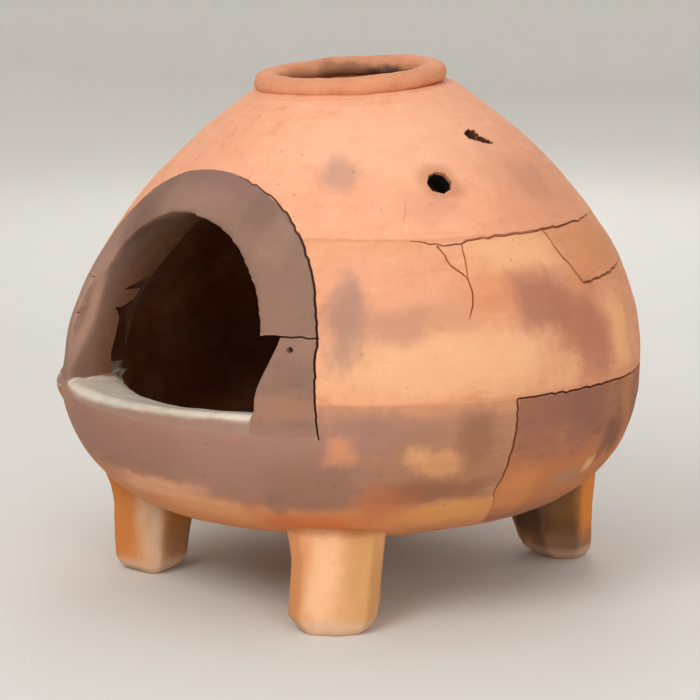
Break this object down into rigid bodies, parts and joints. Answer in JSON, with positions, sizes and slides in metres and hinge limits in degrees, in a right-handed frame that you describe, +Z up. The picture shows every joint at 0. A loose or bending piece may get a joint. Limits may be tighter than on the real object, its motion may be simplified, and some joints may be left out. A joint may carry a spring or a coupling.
{
  "type": "chiminea",
  "caption": "Squat round clay chiminea on block feet, with an arched stoking mouth, a deep sill, a small vent and a rolled rim round the flue.",
  "frame": {"origin": "on the ground, under the centre of the pot", "axes": "+Z up along the flue, -Y out of the stoking mouth, +X to the right as seen by someone who faces the mouth"},
  "size_m": [0.56, 0.56, 0.4865],
  "materials": {
    "terracotta": "matte hand-smoothed earthenware, smoke-clouded",
    "smoked_terracotta": "matte earthenware with grey-mauve smoke clouds and orange patches",
    "grey_clay": "matte smoke-greyed earthenware",
    "limed_clay": "matte clay dusted with pale ash",
    "foot_clay": "matte ochre earthenware",
    "ash": "loose wood ash over sand"
  },
  "bodies": {
    "root": {"base_bowl": "smoked_terracotta", "bowl_sherd": "smoked_terracotta", "belly_wall": "terracotta", "belly_sherd_side": "terracotta", "belly_sherd_small": "terracotta", "dome_cap": "terracotta", "neck_collar": "terracotta", "rim_coil": "terracotta", "arch_crown": "grey_clay", "left_jamb_upper": "grey_clay", "left_jamb_lower": "grey_clay", "right_jamb": "grey_clay", "sill_ledge": "limed_clay", "ash_bed": "ash", "foot_front_left": "foot_clay", "foot_front_right": "foot_clay", "foot_rear_left": "foot_clay", "foot_rear_right": "foot_clay"}
  },
  "joints": []
}
